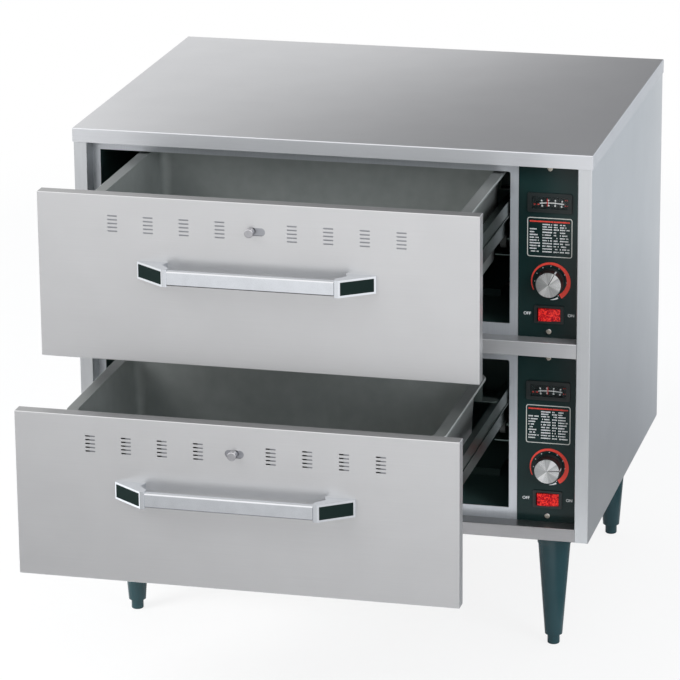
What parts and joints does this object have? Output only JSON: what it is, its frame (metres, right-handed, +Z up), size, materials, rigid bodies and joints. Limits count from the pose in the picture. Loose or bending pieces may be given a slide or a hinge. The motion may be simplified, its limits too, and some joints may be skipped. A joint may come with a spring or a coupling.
{
  "type": "countertop warming drawer",
  "caption": "Freestanding stainless food warmer on tapered legs: stacked heated pan drawers with wedge handles and sliding vents, and a side column of dial, thermometer and rocker switch.",
  "frame": {"origin": "on the floor, under the middle of the cabinet's plan, with the levelling feet screwed in", "axes": "+X to the right as seen by the user, +Y from the drawer fronts to the back, +Z up"},
  "size_m": [0.74, 0.9731, 0.736],
  "materials": {
    "stainless": "fine satin grain",
    "liner_black": "dark green-black high-temperature coat",
    "panel_black": "satin dark green-black",
    "chrome": "polished",
    "pan_steel": "drawn steel, soft sheen",
    "rail_steel": "plain zinc-plated sheet",
    "leg_finish": "dark satin enamel",
    "plain_steel": "turned",
    "knob_black": "matt moulded",
    "cap_aluminium": "spun face",
    "switch_black": "matt moulded",
    "rocker_red": "translucent red",
    "needle_red": "red enamel",
    "gauge_black": "gloss black",
    "nylon": "black glass-filled nylon",
    "insert_black": "matt black",
    "bushing_black": "black",
    "element_sheath": "oxidised sheath",
    "thermostat_metal": "plated"
  },
  "bodies": {
    "cabinet": {"top_cover": "stainless", "left_side_panel": "stainless", "right_side_panel": "stainless", "back_panel": "stainless", "bottom_panel": "stainless", "middle_rail": "stainless", "control_bay_wall": "liner_black", "cord_bushing": "bushing_black", "face_frames": "stainless", "upper_cavity_liner": "liner_black", "lower_cavity_liner": "liner_black", "control_panels": "panel_black", "panel_screws": "plain_steel", "thermometer_cases": "gauge_black", "thermostat_bodies": "thermostat_metal", "switch_housings": "switch_black", "heating_elements": "element_sheath", "element_covers": "liner_black", "left_runners": "rail_steel", "right_runners": "rail_steel", "legs": "leg_finish"},
    "upper_drawer": {"upper_drawer_front": "stainless", "upper_inner_panel": "stainless", "upper_handle_bar": "chrome", "upper_handle_brackets": "chrome", "upper_handle_inserts": "insert_black", "upper_drawer_rails": "rail_steel", "upper_crossbar": "rail_steel", "upper_pan": "pan_steel"},
    "upper_vent": {"upper_vent_slider": "stainless", "upper_vent_knob": "knob_black"},
    "upper_dial": {"upper_thermostat_shaft": "plain_steel", "upper_thermostat_knob": "knob_black", "upper_knob_cap": "cap_aluminium"},
    "upper_rocker": {"upper_switch_rocker": "rocker_red"},
    "upper_needle": {"upper_thermometer_needle": "needle_red"},
    "upper_rear_wheels": {"upper_rear_rollers": "nylon"},
    "upper_front_wheels": {"upper_front_rollers": "nylon"},
    "lower_drawer": {"lower_drawer_front": "stainless", "lower_inner_panel": "stainless", "lower_handle_bar": "chrome", "lower_handle_brackets": "chrome", "lower_handle_inserts": "insert_black", "lower_drawer_rails": "rail_steel", "lower_crossbar": "rail_steel", "lower_pan": "pan_steel"},
    "lower_vent": {"lower_vent_slider": "stainless", "lower_vent_knob": "knob_black"},
    "lower_dial": {"lower_thermostat_shaft": "plain_steel", "lower_thermostat_knob": "knob_black", "lower_knob_cap": "cap_aluminium"},
    "lower_rocker": {"lower_switch_rocker": "rocker_red"},
    "lower_needle": {"lower_thermometer_needle": "needle_red"},
    "lower_rear_wheels": {"lower_rear_rollers": "nylon"},
    "lower_front_wheels": {"lower_front_rollers": "nylon"},
    "front_left_levelling_foot": {"front_left_foot": "plain_steel"},
    "front_right_levelling_foot": {"front_right_foot": "plain_steel"},
    "back_left_levelling_foot": {"back_left_foot": "plain_steel"},
    "back_right_levelling_foot": {"back_right_foot": "plain_steel"}
  },
  "joints": [
    {"name": "upper_drawer_slide", "type": "slide", "parent": "cabinet", "child": "upper_drawer", "axis": [0, -1, 0], "range_m": [-0.2358, 0.1842]},
    {"name": "upper_vent_slide", "type": "slide", "parent": "upper_drawer", "child": "upper_vent", "axis": [1, 0, 0], "range_m": [0, 0.014]},
    {"name": "upper_dial_turn", "type": "hinge", "parent": "cabinet", "child": "upper_dial", "pos_m": [0.308, -0.2659, 0.547], "axis": [0, 1, 0], "range_deg": [-178, 122]},
    {"name": "upper_rocker_tilt", "type": "hinge", "parent": "cabinet", "child": "upper_rocker", "pos_m": [0.306, -0.2634, 0.4995], "axis": [0, 0, 1], "range_deg": [-14, 0]},
    {"name": "upper_needle_slide", "type": "slide", "parent": "cabinet", "child": "upper_needle", "axis": [1, 0, 0], "range_m": [-0.015, 0.023]},
    {"name": "upper_rear_roller_turn", "type": "hinge", "parent": "upper_drawer", "child": "upper_rear_wheels", "pos_m": [-0.0235, -0.0173, 0.5923], "axis": [1, 0, 0], "range_deg": [-1045, 817]},
    {"name": "upper_front_roller_turn", "type": "hinge", "parent": "cabinet", "child": "upper_front_wheels", "pos_m": [-0.0235, -0.2425, 0.5982], "axis": [1, 0, 0], "range_deg": [-1045, 817]},
    {"name": "lower_drawer_slide", "type": "slide", "parent": "cabinet", "child": "lower_drawer", "axis": [0, -1, 0], "range_m": [-0.3586, 0.0614]},
    {"name": "lower_vent_slide", "type": "slide", "parent": "lower_drawer", "child": "lower_vent", "axis": [1, 0, 0], "range_m": [-0.006, 0.008]},
    {"name": "lower_dial_turn", "type": "hinge", "parent": "cabinet", "child": "lower_dial", "pos_m": [0.308, -0.2659, 0.276], "axis": [0, 1, 0], "range_deg": [-235, 65]},
    {"name": "lower_rocker_tilt", "type": "hinge", "parent": "cabinet", "child": "lower_rocker", "pos_m": [0.306, -0.2634, 0.2285], "axis": [0, 0, 1], "range_deg": [-14, 0]},
    {"name": "lower_needle_slide", "type": "slide", "parent": "cabinet", "child": "lower_needle", "axis": [1, 0, 0], "range_m": [-0.018, 0.02]},
    {"name": "lower_rear_roller_turn", "type": "hinge", "parent": "lower_drawer", "child": "lower_rear_wheels", "pos_m": [-0.0235, -0.1401, 0.3213], "axis": [1, 0, 0], "range_deg": [-1586, 276]},
    {"name": "lower_front_roller_turn", "type": "hinge", "parent": "cabinet", "child": "lower_front_wheels", "pos_m": [-0.0235, -0.2425, 0.3272], "axis": [1, 0, 0], "range_deg": [-1586, 276]},
    {"name": "front_left_foot_height", "type": "slide", "parent": "cabinet", "child": "front_left_levelling_foot", "axis": [0, 0, -1], "range_m": [0, 0.02]},
    {"name": "front_right_foot_height", "type": "slide", "parent": "cabinet", "child": "front_right_levelling_foot", "axis": [0, 0, -1], "range_m": [0, 0.02]},
    {"name": "back_left_foot_height", "type": "slide", "parent": "cabinet", "child": "back_left_levelling_foot", "axis": [0, 0, -1], "range_m": [0, 0.02]},
    {"name": "back_right_foot_height", "type": "slide", "parent": "cabinet", "child": "back_right_levelling_foot", "axis": [0, 0, -1], "range_m": [0, 0.02]}
  ],
  "couplings": [
    {"joint": "upper_rear_roller_turn", "follows": "upper_drawer_slide", "rad_per_m": 76.923},
    {"joint": "upper_front_roller_turn", "follows": "upper_drawer_slide", "rad_per_m": 76.923},
    {"joint": "lower_rear_roller_turn", "follows": "lower_drawer_slide", "rad_per_m": 76.923},
    {"joint": "lower_front_roller_turn", "follows": "lower_drawer_slide", "rad_per_m": 76.923}
  ]
}
